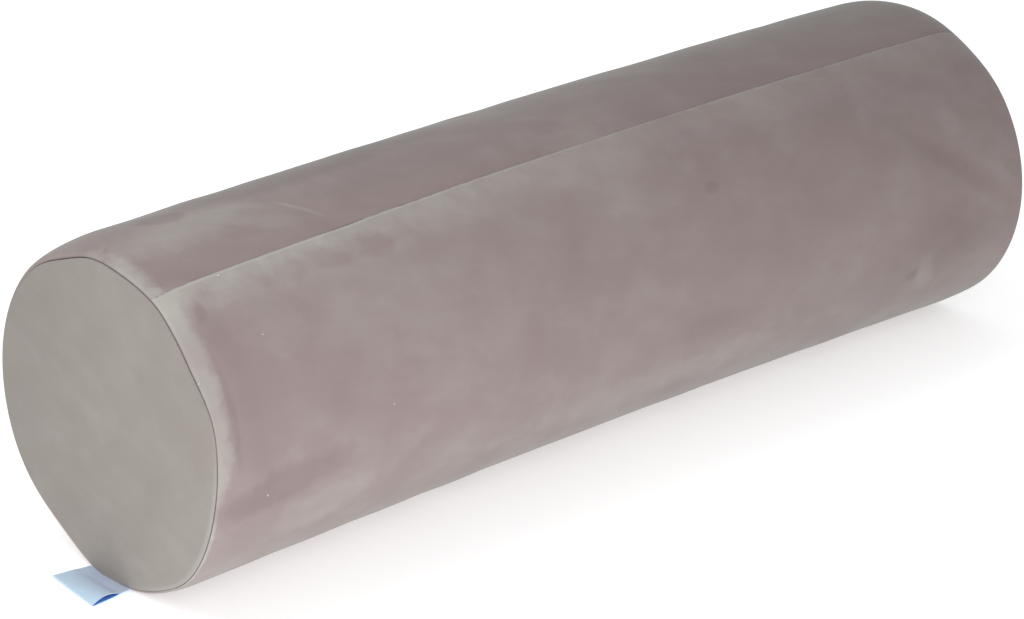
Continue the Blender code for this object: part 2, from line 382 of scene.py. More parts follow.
class NodeBoard:
    """Adds, sets and links the nodes of one tree."""

    def __init__(self, tree: bpy.types.NodeTree) -> None:
        """Start on a tree that may already hold nodes."""
        self.tree = tree

    def add(self, kind: str, **settings: object) -> bpy.types.Node:
        """Add a node of a kind with its properties set."""
        node = self.tree.nodes.new(kind)
        for key, value in settings.items():
            setattr(node, key, value)
        return node

    def feed(self, node: bpy.types.Node, **values: object) -> bpy.types.Node:
        """Fill a node's inputs by name, with spaces as underscores: a socket is linked, a value is set.

        Args:
            node: the node.
            **values: what goes into each input.

        Returns:
            The same node.
        """
        for key, value in values.items():
            self.fill(node.inputs[key.replace("_", " ")], value)
        return node

    def fill(self, socket: Socket, value: object) -> None:
        """Link a socket to a socket, or set its value."""
        if isinstance(value, Socket):
            self.tree.links.new(value, socket)
        else:
            socket.default_value = value

    def split(self, place: Socket) -> object:
        """Return the X, Y and Z outputs of a place."""
        return self.feed(self.add("ShaderNodeSeparateXYZ"), Vector=place).outputs

    def scaled(self, vector: Socket, scale: Socket) -> Socket:
        """Return a vector or colour multiplied by a value."""
        node = self.add("ShaderNodeVectorMath", operation="SCALE")
        self.fill(node.inputs[0], vector)
        return self.feed(node, Scale=scale).outputs["Vector"]

    def math(self, operation: str, *values: object) -> Socket:
        """Return the outcome of a math node fed with sockets or numbers."""
        node = self.add("ShaderNodeMath", operation=operation)
        for socket, value in zip(node.inputs, values):
            self.fill(socket, value)
        return node.outputs[0]

    def sum(self, first: object, second: object) -> Socket:
        """Return the sum of two sockets or numbers."""
        return self.math("ADD", first, second)

    def product(self, first: object, second: object) -> Socket:
        """Return the product of two sockets or numbers."""
        return self.math("MULTIPLY", first, second)

    def spread(self, value: Socket, low: float, high: float, to_low: float, to_high: float) -> Socket:
        """Return a value mapped smoothly from one range to another."""
        node = self.add("ShaderNodeMapRange", interpolation_type="SMOOTHSTEP")
        self.feed(node, Value=value, From_Min=low, From_Max=high, To_Min=to_low, To_Max=to_high)
        return node.outputs["Result"]

    def noise(self, place: Socket, scale: float, detail: float = 2.0,
              roughness: float = 0.5, distortion: float = 0.0) -> Socket:
        """Return noise from 0 to 1 at a place, with a scale in waves a metre."""
        node = self.add("ShaderNodeTexNoise")
        self.feed(node, Vector=place, Scale=scale, Detail=detail, Roughness=roughness, Distortion=distortion)
        return node.outputs["Fac"]

    def mapped(self, place: Socket, location: tuple, turn: float, scale: tuple) -> Socket:
        """Return a place seen from a patch's own centre, turn in degrees and half sizes."""
        node = self.add("ShaderNodeMapping", vector_type="TEXTURE")
        self.feed(node, Vector=place, Location=location, Rotation=(0.0, 0.0, math.radians(turn)), Scale=scale)
        return node.outputs["Vector"]

    def blend_colour(self, share: object, low: object, high: object) -> Socket:
        """Return a colour between two, by a share from 0 to 1."""
        node = self.add("ShaderNodeMix", data_type="RGBA", clamp_factor=True)
        for socket, value in ((node.inputs["Factor"], share), (node.inputs[6], low), (node.inputs[7], high)):
            self.fill(socket, (*value, 1.0) if isinstance(value, tuple) else value)
        return node.outputs[2]


def principled_board(name: str) -> tuple[bpy.types.Material, NodeBoard, bpy.types.Node]:
    """Return a new material, its board and its Principled shader."""
    material = bpy.data.materials.new(name)
    material.use_nodes = True
    shader = material.node_tree.nodes["Principled BSDF"]
    return material, NodeBoard(material.node_tree), shader


@dataclass(frozen=True)
class PileAndPaintedLightMark:
    """An oval on the cloth that reads lighter or darker: most are patches where the pile lies another way,
    some are painted highlights and painted shade.
    """

    x: float
    angle: float
    half_length: float
    half_width: float
    turn: float
    shade: float
    softness: float = 0.5
    ragged: float = 0.6


@dataclass(frozen=True)
class SeamPileAndShade:
    """The long seam's marks: a painted highlight along the groove's front edge and lighter pile in front of
    it, and painted shade above it.
    """

    line: float = 0.20
    line_aside: float = 0.0011
    line_half_width: float = 0.0013
    glow: float = 0.34
    glow_width: float = 0.034
    shade: float = -0.06
    shade_width: float = 0.014
    far_share: float = 0.42
    side_from: float = -0.0004
    side_to: float = 0.0005
    fade_from: float = -0.26
    fade_to: float = 0.06


@dataclass(frozen=True)
class VelvetFinish:
    """Short-pile velvet: mauve where the pile faces the eye and greyer where it lies along it."""

    name: str
    crushed: Triple
    plain: Triple
    brushed: Triple
    mottle: float = 0.05
    blotch: float = 0.025
    streak: float = 0.025
    grain: float = 0.05
    roughness: float = 0.82
    sheen: float = 0.27
    sheen_roughness: float = 0.40
    sheen_tint: Triple = (0.78, 0.95, 0.89)
    specular: float = 0.10
    # Painted shading gradient multiplied into the base colour: painted shade towards the far end and the top,
    # painted light towards the front, and an overall level.
    painted_far_shade: float = -0.20
    painted_front_light: float = 0.0
    painted_top_shade: float = -0.13
    painted_shade_level: float = 0.085
    rim_painted_light: float = 0.0
    cloud_waves: float = 13.0
    blotch_waves: float = 42.0
    streak_waves: float = 30.0
    streak_turn: float = 22.0
    streak_shape: Triple = (1.6, 0.45, 1.0)
    ragged_waves: float = 70.0
    ragged_reach: float = 1.6
    grain_waves: float = 1900.0
    lie_waves: float = 160.0
    lie_strength: float = 0.10
    lie_height: float = 0.0010
    tip_strength: float = 0.22
    tip_height: float = 0.00025
    marks: tuple[PileAndPaintedLightMark, ...] = ()
    seam: SeamPileAndShade | None = None

    def build(self) -> bpy.types.Material:
        """Return the velvet's material, patterned on the cloth coordinates."""
        material, board, shader = principled_board(self.name)
        uv = board.add("ShaderNodeUVMap", uv_map=CLOTH_MAP).outputs["UV"]
        nap = self.nap(board, uv)
        colour = self.tinted(board, nap)
        fine = board.noise(uv, scale=self.grain_waves, detail=2.0, roughness=0.7)
        grain = board.spread(fine, 0.25, 0.75, 1.0 - self.grain, 1.0 + self.grain)
        # The base colour is multiplied by the fine grain and by the painted shading gradient.
        shaded = board.scaled(colour, board.product(grain, self.lie(board)))
        board.feed(
            shader,
            Base_Color=shaded,
            Roughness=board.spread(nap, 0.0, 1.0, self.roughness + 0.06, self.roughness - 0.06),
            Normal=self.relief(board, uv, fine),
            Sheen_Weight=self.sheen,
            Sheen_Roughness=self.sheen_roughness,
            Sheen_Tint=(*self.sheen_tint, 1.0),
            Specular_IOR_Level=self.specular,
        )
        return material

    def tinted(self, board: NodeBoard, nap: Socket) -> Socket:
        """Return the colour of the pile from how it lies: crushed at 0, plain at 0.5, brushed at 1."""
        ramp = board.add("ShaderNodeValToRGB")
        stops = ramp.color_ramp.elements
        stops.new(0.5)
        for stop, colour in zip(stops, (self.crushed, self.plain, self.brushed)):
            stop.color = (*colour, 1.0)
        board.feed(ramp, Fac=nap)
        return ramp.outputs["Color"]

    # Painted light and shade, not the pile: darker towards the far end and the top, lighter towards the front
    # and the bottom.
    def lie(self, board: NodeBoard) -> Socket:
        """Return the painted shading gradient along the roll, across it and up it: painted shade and light
        that stand in for how the studio light falls.
        """
        place = board.add("ShaderNodeTexCoord").outputs["Object"]
        parts = board.split(place)
        along = board.product(parts["X"], self.painted_far_shade / ROLL.half_length)
        front = board.product(parts["Y"], -self.painted_front_light / ROLL.radius)
        up = board.product(board.math("SUBTRACT", parts["Z"], ROLL.axis_height),
                        self.painted_top_shade / ROLL.radius)
        return board.sum(board.sum(along, front), board.sum(up, 1.0 + self.painted_shade_level))

    def nap(self, board: NodeBoard, uv: Socket) -> Socket:
        """Return how the pile lies, from 0, crushed and dark, to 1, brushed and pale, with the painted
        highlights and shade of some marks, the rim and the long seam added in.
        """
        cloudy = board.noise(uv, scale=self.cloud_waves, detail=3.0, roughness=0.55, distortion=0.8)
        blotchy = board.noise(uv, scale=self.blotch_waves, detail=4.0, roughness=0.6)
        turned = board.mapped(uv, (0.0, 0.0, 0.0), self.streak_turn, self.streak_shape)
        brushed = board.noise(turned, scale=self.streak_waves, detail=4.0, roughness=0.6, distortion=0.4)
        total = board.sum(0.5, board.spread(cloudy, 0.3, 0.7, -self.mottle, self.mottle))
        total = board.sum(total, board.spread(blotchy, 0.38, 0.62, -self.blotch, self.blotch))
        total = board.sum(total, board.spread(brushed, 0.3, 0.7, -self.streak, self.streak))
        # The painted highlight on the end panels' rim, read from the mesh.
        if self.rim_painted_light:
            rim = board.add("ShaderNodeAttribute", attribute_name=PAINTED_RIM_LIGHT)
            total = board.sum(total, board.product(rim.outputs["Fac"], self.rim_painted_light))
        if not self.marks:
            return total
        place = self.from_seam(board, uv)
        ragged = board.noise(uv, scale=self.ragged_waves, detail=4.0, roughness=0.6)
        edge = board.product(board.math("SUBTRACT", ragged, 0.5), self.ragged_reach)
        for mark in self.marks:
            total = board.sum(total, self.marked(board, place, edge, mark))
        if self.seam:
            total = board.sum(total, self.beside_seam(board, place, edge))
        return total

    @staticmethod
    def from_seam(board: NodeBoard, uv: Socket) -> Socket:
        """Return cloth places with v counted both ways from the long seam."""
        parts = board.split(uv)
        half_turn = math.pi * ROLL.radius
        both_ways = board.add("ShaderNodeCombineXYZ")
        board.feed(both_ways, X=parts["X"], Y=board.math("WRAP", parts["Y"], half_turn, -half_turn))
        return both_ways.outputs["Vector"]

    def marked(self, board: NodeBoard, place: Socket, edge: Socket,
               mark: PileAndPaintedLightMark) -> Socket:
        """Return what one mark, a pile patch or a painted highlight or shade, adds to the nap, with its edge
        made ragged.
        """
        round_to = math.radians(mark.angle - ROLL.seam_angle(mark.x)) * ROLL.radius
        half_sizes = (mark.half_length, mark.half_width, 1.0)
        seen = board.mapped(place, (mark.x, round_to, 0.0), mark.turn, half_sizes)
        out = board.add("ShaderNodeVectorMath", operation="LENGTH")
        board.tree.links.new(seen, out.inputs[0])
        reach = board.sum(out.outputs["Value"], board.product(edge, mark.ragged))
        return board.spread(reach, 1.0 - mark.softness, 1.0 + mark.softness, mark.shade, 0.0)

    def beside_seam(self, board: NodeBoard, place: Socket,
                    edge: Socket) -> Socket:
        """Return what the long seam adds to the nap on its two sides, fading towards the far end: a painted
        highlight, lighter pile and painted shade.
        """
        seam = self.seam
        parts = board.split(place)
        aside = parts["Y"]
        # The line is a painted highlight on the groove's front edge; the shade above the seam is painted
        # shade.
        off_line = board.math("ABSOLUTE", board.math("SUBTRACT", aside, seam.line_aside))
        line = board.spread(off_line, 0.0, seam.line_half_width, seam.line, 0.0)
        in_front = board.spread(aside, seam.side_from, seam.side_to, 0.0, 1.0)
        glow = board.product(in_front, board.spread(aside, 0.0, seam.glow_width, seam.glow, 0.0))
        behind = board.math("SUBTRACT", 1.0, in_front)
        shade = board.product(behind, board.spread(aside, -seam.shade_width, 0.0, 0.0, seam.shade))
        both = board.sum(board.sum(line, glow), shade)
        patchy = board.sum(1.0, edge)
        fade = board.spread(parts["X"], seam.fade_from, seam.fade_to, 1.0, seam.far_share)
        return board.product(board.product(both, patchy), fade)

    def relief(self, board: NodeBoard, uv: Socket,
               fine: Socket) -> Socket:
        """Return the normal of the pile's fine tips over its soft lie."""
        lie = board.noise(uv, scale=self.lie_waves, detail=3.0, roughness=0.6)
        soft = board.feed(board.add("ShaderNodeBump"), Strength=self.lie_strength,
                          Distance=self.lie_height, Height=lie)
        tips = board.feed(board.add("ShaderNodeBump"), Strength=self.tip_strength,
                          Distance=self.tip_height, Height=fine, Normal=soft.outputs["Normal"])
        return tips.outputs["Normal"]


@dataclass(frozen=True)
class RibbonFinish:
    """A smooth woven label ribbon face, bare, with painted shade towards its root."""

    name: str
    colour: Triple
    lit: Triple
    root: Triple
    root_from: float = 0.026
    root_to: float = 0.049
    root_wander: float = 0.012
    tone_waves: float = 70.0
    rib_waves: float = 1100.0
    pick_waves: float = 700.0
    weave_height: float = 0.0001
    roughness: float = 0.42

    def build(self) -> bpy.types.Material:
        """Return the ribbon's material, with its weave, a slight change of tone and painted shade towards the
        root.
        """
        material, board, shader = principled_board(self.name)
        uv = board.add("ShaderNodeUVMap", uv_map=CLOTH_MAP).outputs["UV"]
        tone = board.noise(uv, scale=self.tone_waves, detail=2.0)
        ribs = board.add("ShaderNodeTexWave", wave_type="BANDS", bands_direction="Y", wave_profile="SIN")
        board.feed(ribs, Vector=uv, Scale=self.rib_waves, Distortion=0.4, Detail=1.0)
        picks = board.add("ShaderNodeTexWave", wave_type="BANDS", bands_direction="X", wave_profile="SIN")
        board.feed(picks, Vector=uv, Scale=self.pick_waves, Distortion=0.4, Detail=1.0)
        weave = board.product(ribs.outputs["Fac"], picks.outputs["Fac"])
        bump = board.feed(board.add("ShaderNodeBump"), Strength=0.25, Distance=self.weave_height,
                          Height=weave)
        share = board.sum(board.spread(tone, 0.3, 0.7, 0.2, 0.8), board.product(weave, 0.2))
        parts = board.split(uv)
        # Painted shade and a painted reflection of the mauve velvet, growing towards the root in the seam.
        cloudy = board.product(board.math("SUBTRACT", tone, 0.5), self.root_wander)
        run = board.sum(parts["Y"], cloudy)
        painted_root_shade = board.spread(run, self.root_from, self.root_to, 0.0, 1.0)
        woven = board.blend_colour(share, self.colour, self.lit)
        board.feed(
            shader,
            Base_Color=board.blend_colour(painted_root_shade, woven, self.root),
            Roughness=board.spread(weave, 0.0, 1.0, self.roughness + 0.08, self.roughness - 0.04),
            Normal=bump.outputs["Normal"],
            Sheen_Weight=0.08,
            Specular_IOR_Level=0.35,
        )
        return material


@dataclass(frozen=True)
class ThreadFinish:
    """Plain matt fibre, for sewing thread, seam pile and lint."""

    name: str
    colour: Triple
    roughness: float = 0.7
    tone_waves: float = 220.0
    darker_share: float = 0.8

    def build(self) -> bpy.types.Material:
        """Return the fibre's material, with a slight change of tone along the piece."""
        material, board, shader = principled_board(self.name)
        place = board.add("ShaderNodeTexCoord").outputs["Object"]
        tone = board.noise(place, scale=self.tone_waves, detail=2.0)
        darker = tuple(self.darker_share * value for value in self.colour)
        board.feed(
            shader,
            Base_Color=board.blend_colour(tone, darker, self.colour),
            Roughness=board.spread(tone, 0.2, 0.8, self.roughness, self.roughness + 0.15),
            Sheen_Weight=0.2,
            Specular_IOR_Level=0.25,
        )
        return material


@dataclass(frozen=True)
class FloorFinish:
    """A plain pale floor, softly lit from below like a photographer's light table."""

    name: str = "pale_floor"
    colour: Triple = (0.885, 0.90, 0.90)
    glow: float = 0.41

    def build(self) -> bpy.types.Material:
        """Return the floor's matt material."""
        material, board, shader = principled_board(self.name)
        board.feed(shader, Base_Color=(*self.colour, 1.0), Roughness=0.95, Specular_IOR_Level=0.1,
                   Emission_Color=(1.0, 1.0, 1.0, 1.0), Emission_Strength=self.glow)
        return material


# Each row: x, angle, half length, half width, turn, shade, softness, raggedness
# Most rows are patches where the pile lies another way; the rows noted below paint highlights and shade.
PILE_AND_PAINTED_LIGHT_MARKS = tuple(PileAndPaintedLightMark(*row) for row in (
    # Pale band on the near shoulder: painted highlight of the rounded shoulder's sheen, with crushed pile
    # along its ragged edge.
    (-0.2995, 143, 0.0105, 0.078, 0, 0.26, 0.3, 0.9),
    (-0.2965, 105, 0.006, 0.022, 0, 0.12, 0.4, 0.6),
    # Painted highlight on the bump where the long seam meets the near shoulder.
    (-0.289, 120, 0.012, 0.008, 0, 0.12, 0.5, 0.6),
    (-0.2815, 129, 0.0028, 0.006, 15, -0.13, 0.6, 0.5),
    (-0.2865, 163, 0.0022, 0.024, 0, -0.14, 0.6, 0.9),
    (-0.27, 160, 0.015, 0.048, -6, -0.07, 0.7, 0.6),
    (-0.19, 125, 0.045, 0.007, 3, -0.12, 0.5, 0.6),
    (-0.25, 81, 0.013, 0.01, 25, -0.2, 0.3, 0.9),
    (-0.15, 76, 0.08, 0.019, 2, -0.22, 0.3, 0.6),
    (-0.1835, 101.5, 0.0125, 0.0016, 58.5, 0.16, 0.6, 0.3),
    (-0.205, 101, 0.02, 0.012, 40, 0.05, 0.6, 0.6),
    (0.063, 144, 0.005, 0.0032, 0, -0.16, 0.6, 0.5),
    (0.045, 191, 0.024, 0.007, 4, -0.12, 0.6, 0.6),
    # Painted light from the floor's bounce on the lower front.
    (0.06, 206, 0.04, 0.014, 0, 0.07, 0.7, 0.6),
    (-0.258, 191, 0.04, 0.01, -6, -0.2, 0.4, 0.7),
    (-0.228, 207, 0.032, 0.014, -10, 0.13, 0.45, 0.6),
    # Painted light from the floor's bounce on the lower front.
    (-0.1, 200, 0.06, 0.018, -4, 0.05, 0.7, 0.6),
    (-0.005, 209, 0.085, 0.011, 0, 0.08, 0.7, 0.6),
    (0.235, 189, 0.036, 0.017, 0, -0.15, 0.7, 0.6),
    # Painted highlight along the near seam's lower front edge, over the groove's shade.
    (-0.3005, 214, 0.0022, 0.05, 0, 0.45, 0.5, 0.3),
    (0.005, 130, 0.034, 0.03, 0, 0.12, 0.7, 0.6),
    (-0.248, 93, 0.042, 0.015, 0, 0.24, 0.6, 0.6),
    (-0.2, 146, 0.07, 0.022, 0, 0.06, 0.8, 0.4),
    # Painted shade along the fold at the far end, and a painted highlight on the ridge beside it.
    (0.25, 165, 0.036, 0.006, 38, -0.16, 0.7, 0.6),
    (0.246, 171, 0.03, 0.004, 38, 0.05, 0.7, 0.5),
    (0.249, 148, 0.007, 0.009, 20, 0.09, 0.6, 0.6),
    (0.227, 203, 0.007, 0.013, -20, 0.14, 0.5, 0.6),
    (0.215, 202, 0.005, 0.004, 0, -0.18, 0.6, 0.5),
    (0.188, 136, 0.006, 0.008, 0, 0.06, 0.7, 0.6),
))


LINT_PROUD = 0.0003
# Each place: x and angle
LINT_PLACES = ((-0.259, 119.0), (-0.299, 149.5), (-0.184, 177.0), (-0.254, 142.0), (-0.268, 192.0))


@dataclass(frozen=True)
class Finishes:
    """Every material of the cushion, built once."""

    wrap: VelvetFinish = VelvetFinish(
        name="wrap_velvet", crushed=(0.178, 0.134, 0.132), plain=(0.258, 0.207, 0.203),
        brushed=(0.370, 0.352, 0.325), marks=PILE_AND_PAINTED_LIGHT_MARKS, seam=SeamPileAndShade(),
    )
    ends: VelvetFinish = VelvetFinish(
        name="end_velvet", crushed=(0.250, 0.217, 0.200), plain=(0.300, 0.267, 0.246),
        brushed=(0.360, 0.332, 0.308), mottle=0.10, blotch=0.05, streak=0.05, sheen=0.35, painted_far_shade=0.0,
        # Painted light towards the front and the bottom of the end panels, and a painted highlight on their
        # rim's lower front.
        painted_front_light=0.10, painted_top_shade=-0.03, painted_shade_level=0.02, rim_painted_light=0.80,
    )
    # The root colours are painted: shade with the velvet's mauve reflection on the face, deep shade inside
    # the fold.
    label_face: RibbonFinish = RibbonFinish(
        "label_face", colour=(0.53, 0.69, 0.86), lit=(0.57, 0.74, 0.90), root=(0.47, 0.54, 0.68),
    )
    label_back: RibbonFinish = RibbonFinish(
        "label_back", colour=(0.12, 0.33, 0.80), lit=(0.16, 0.40, 0.88), root=(0.04, 0.11, 0.46),
    )
    thread: ThreadFinish = ThreadFinish("seam_thread", colour=(0.22, 0.18, 0.175))
    lint: ThreadFinish = ThreadFinish("lint_fibre", colour=(0.85, 0.84, 0.82))


@dataclass
class WrappedVelvet:
    """The velvet wrapped round the filling, with its shoulders, its long seam and its rest flat.

    The outline is the fitted form's own. The simulated filling has not settled by its last frame, so its
    movement is centred, smoothed and scaled by the lumpiness, and only adds unevenness under 0.6 mm.
    """

    roll: RollForm
    finish: VelvetFinish
    cage_columns: int = 104
    cage_rows: int = 120
    swell: float = 0.0015
    cap: float = 0.0014
    lumpiness: float = 0.40
    smoothing: int = 40
    frames: int = 20
    pressure: float = 4.0
    seam_steps: tuple[float, ...] = (0.00035, 0.0007, 0.0011, 0.0016, 0.0024, 0.0036, 0.0052)
    column_step: float = 0.0031
    row_step: float = 0.0019
    shoulder_rows: int = 17
    edge_rows: int = 8
    edge_inward: float = 0.0020
    edge_root: float = 0.0016
    edge_front: float = 0.0003
    edge_onward: float = 0.0007
    seam_depth: float = 0.0003
    seam_half_width: float = 0.0004
    seam_pull: float = 0.00018
    seam_pull_width: float = 0.0040
    ridge_height: float = 0.00030
    ridge_aside: float = 0.0011
    ridge_half_width: float = 0.0007
    groove_pucker: float = 0.3
    pull_pucker: float = 0.8
    ridge_pucker: float = 0.4
    recess_shares: tuple[float, ...] = (0.45, 0.82)
    unevenness: Ripple = Ripple(height=0.00016, shortest=0.030, longest=0.110, count=40, seed=11)
    puckers: Ripple = Ripple(height=0.5, shortest=0.004, longest=0.016, count=24, seed=5)

    def column_offsets(self) -> np.ndarray:
        """Return the columns' angles from the long seam, close together beside it."""
        degrees = np.degrees(np.array(self.seam_steps) / self.roll.radius)
        span = 360.0 - 2.0 * degrees[-1]
        count = round(math.radians(span) * self.roll.radius / self.column_step)
        between = degrees[-1] + span * np.arange(1, count) / count
        return np.concatenate([[0.0], degrees, between, 360.0 - degrees[::-1]])

    def stations(self) -> np.ndarray:
        """Return the x of each ring of the wrap, closer together over the rounded shoulders."""
        near = -self.roll.half_length + self.shoulder_run(self.roll.near)
        far = self.roll.half_length - self.shoulder_run(self.roll.far)[::-1]
        count = round((far[0] - near[-1]) / self.row_step)
        middle = near[-1] + (far[0] - near[-1]) * np.arange(1, count) / count
        return np.concatenate([near, middle, far])

    def shoulder_run(self, end: RollEnd) -> np.ndarray:
        """Return how far inside an end's seam each ring of its shoulder lies, from the edge inwards."""
        start = math.acos(1.0 - self.edge_inward / end.shoulder)
        quarter = np.linspace(start, 0.5 * math.pi, self.shoulder_rows + 1)
        return end.shoulder * (1.0 - np.cos(quarter))

    def filled(self) -> tuple[np.ndarray, np.ndarray, np.ndarray]:
        """Swell a coarse cage of the wrap under the filling's pressure with a cloth simulation.

        Returns:
            The cage's places along the roll, its angles from the long seam, and how far each of its points
            moved out of its start, capped, as (row, column, 3).
        """
        along = np.linspace(-self.roll.half_length, self.roll.half_length, self.cage_rows)
        around = 360.0 * np.arange(self.cage_columns) / self.cage_columns
        x, offset = np.meshgrid(along, around, indexing="ij")
        start = self.roll.surface(x, self.roll.seam_angle(x) + offset, proud=-self.swell)
        tips = [start[row].mean(axis=0) for row in (0, -1)]
        points, faces = MeshMaker.skin(start, *tips)
        cage = MeshMaker.place("filling_cage", MeshMaker.mesh("filling_cage", points, faces))
        held = cage.vertex_groups.new(name="held")
        edge_points = list(range(self.cage_columns))
        edge_points += list(range((self.cage_rows - 1) * self.cage_columns, len(points)))
        held.add(edge_points, 1.0, "REPLACE")
        resting = np.flatnonzero(points[:, 2] < self.roll.rest_flat_blend)
        held.add(resting.tolist(), 1.0, "REPLACE")
        self.add_cloth(cage, held.name)
        moved = self.run_cloth(cage, len(points)) - points
        bpy.data.objects.remove(cage, do_unlink=True)
        moved = moved[:start[..., 0].size].reshape(start.shape)
        reach = np.linalg.norm(moved, axis=-1, keepdims=True)
        return along, around, moved * np.minimum(1.0, self.cap / np.maximum(reach, 1e-9))

    def add_cloth(self, cage: bpy.types.Object, held: str) -> None:
        """Give the cage its cloth settings: firm pressure, no gravity, and held seams."""
        cloth = cage.modifiers.new("filling", "CLOTH")
        settings = dict(
            quality=6, mass=0.3, tension_stiffness=18.0, compression_stiffness=18.0, shear_stiffness=8.0,
            bending_stiffness=1.5, use_pressure=True, uniform_pressure_force=self.pressure,
            vertex_group_mass=held, shrink_min=-0.0035,
        )
        for name, value in settings.items():
            setattr(cloth.settings, name, value)
        cloth.settings.effector_weights.gravity = 0.0
        cloth.collision_settings.use_collision = False
        cloth.point_cache.frame_start = 1
        cloth.point_cache.frame_end = self.frames

    def run_cloth(self, cage: bpy.types.Object, count: int) -> np.ndarray:
        """Step the simulation and return the cage's settled points."""
        scene = bpy.context.scene
        for step in range(1, self.frames + 1):
            scene.frame_set(step)
        settled = cage.evaluated_get(bpy.context.evaluated_depsgraph_get()).to_mesh()
        flat = np.zeros(count * 3)
        settled.vertices.foreach_get("co", flat)
        scene.frame_set(1)
        return flat.reshape(-1, 3)

    def spread_out(self, moved: np.ndarray, along: np.ndarray, around: np.ndarray, x: np.ndarray,
                   offset: np.ndarray) -> np.ndarray:
        """Read the cage's movement at the fine mesh's places, smoothly between the cage's points.

        Args:
            moved: the movement as (row, column, 3).
            along: the cage's places along the roll.
            around: the cage's angles from the long seam.
            x: the fine rings' places along the roll.
            offset: the fine columns' angles from the long seam.

        Returns:
            The movement as (fine row, fine column, 3).
        """
        turns = np.append(around, 360.0)
        closed = np.concatenate([moved, moved[:, :1]], axis=1)
        rows = np.stack([[np.interp(x, along, closed[:, column, axis]) for column in range(len(turns))]
                         for axis in range(3)], axis=-1)
        fine = np.stack([[np.interp(offset, turns, rows[:, row, axis]) for row in range(len(x))]
                         for axis in range(3)], axis=-1)
        for _ in range(self.smoothing):
            fine[1:-1] = 0.25 * fine[:-2] + 0.5 * fine[1:-1] + 0.25 * fine[2:]
            fine = 0.25 * np.roll(fine, 1, axis=1) + 0.5 * fine + 0.25 * np.roll(fine, -1, axis=1)
        return fine

    def seam_dip(self, x: np.ndarray, offset: np.ndarray) -> np.ndarray:
        """Return how far the long seam dips: a narrow puckered groove with a ridge on its front side."""
        aside = np.radians(angle_apart(offset, 0.0)) * self.roll.radius
        pucker = self.puckers.height_at(x, offset * 0.0, self.roll.radius)
        groove = self.seam_depth * (1.0 + self.groove_pucker * pucker) * bell(aside, self.seam_half_width)
        pulled = self.seam_pull * (1.0 + self.pull_pucker * pucker) * bell(aside, self.seam_pull_width)
        off_ridge = bell(aside - self.ridge_aside, self.ridge_half_width)
        ridge = self.ridge_height * (1.0 + self.ridge_pucker * pucker) * off_ridge
        return groove + pulled - ridge

    def rolled_edge(self, end: RollEnd, angle: np.ndarray, first: np.ndarray,
                    second: np.ndarray) -> np.ndarray:
        """Return the rings of an end's recess and of the wrap's edge, which rolls in beside the panel.

        Args:
            end: the end of the roll.
            angle: the angles of the rings' points, in degrees.
            first: the wrap's own ring that is nearest to this end.
            second: the ring after it, which gives the way the edge rolls.

        Returns:
            The rings, from the middle of the recess outwards.
        """
        roll = self.roll
        depth = roll.panel_depth
        rings = [roll.end_ring(end, angle, roll.dome_x(end, depth, share), share, 0.0)
                 for share in self.recess_shares]
        wall, root, turned = (
            roll.end_ring(end, angle, end.side * (roll.half_length - inward), 1.0, roll.piece_gap)
            for inward in (depth, self.edge_root, self.edge_front)
        )
        rings.append(wall)
        back = np.abs(first[:, :1] - second[:, :1])
        onward = first + (first - second) * self.edge_onward / back
        for share in np.arange(self.edge_rows) / self.edge_rows:
            rest = 1.0 - share
            rings.append(rest ** 3 * root + 3 * rest ** 2 * share * turned
                         + 3 * rest * share ** 2 * onward + share ** 3 * first)
        stacked = np.stack(rings)
        stacked[..., 2] = np.maximum(stacked[..., 2], 0.0)
        return stacked

    def build(self) -> bpy.types.Object:
        """Build the wrapped velvet and log its face count."""
        roll = self.roll
        offsets = self.column_offsets()
        stations = self.stations()
        x, offset = np.meshgrid(stations, offsets, indexing="ij")
        angle = roll.seam_angle(x) + offset
        along, around, moved = self.filled()
        settled = self.spread_out(moved, along, around, stations, offsets)
        turn = np.radians(angle)
        outward = settled[..., 1] * np.cos(turn) + settled[..., 2] * np.sin(turn)
        swelling = self.lumpiness * (outward - outward.mean())
        LOG.info("filling: unevenness %.2f to %.2f mm", swelling.min() * 1e3, swelling.max() * 1e3)
        proud = swelling + self.unevenness.height_at(x, angle, roll.radius) - self.seam_dip(x, offset)
        wrapped = roll.surface(x, angle, proud)
        near_angle = roll.seam_angle(-roll.half_length) + offsets
        far_angle = roll.seam_angle(roll.half_length) + offsets
        near = self.rolled_edge(roll.near, near_angle, wrapped[0], wrapped[1])
        far = self.rolled_edge(roll.far, far_angle, wrapped[-1], wrapped[-2])
        rings = np.concatenate([near, wrapped, far[::-1]])
        tips = [self.recess_middle(end) for end in (roll.near, roll.far)]
        points, faces = MeshMaker.skin(rings, *tips)
        data = MeshMaker.mesh("velvet_wrap", points, faces)
        self.map_wrap(data, rings, offsets)
        data.materials.append(self.finish.build())
        piece = MeshMaker.place("velvet_wrap", data)
        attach(piece, BODY)
        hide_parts("body_roll")
        log_piece(piece)
        return piece

    def recess_middle(self, end: RollEnd) -> np.ndarray:
        """Return the middle point of the recess that holds an end panel."""
        x = self.roll.dome_x(end, self.roll.panel_depth, 0.0)
        y = self.roll.axis_shift_y(self.roll.half_length) + end.shift_y
        return np.array([x, y, self.roll.axis_height + end.shift_z])

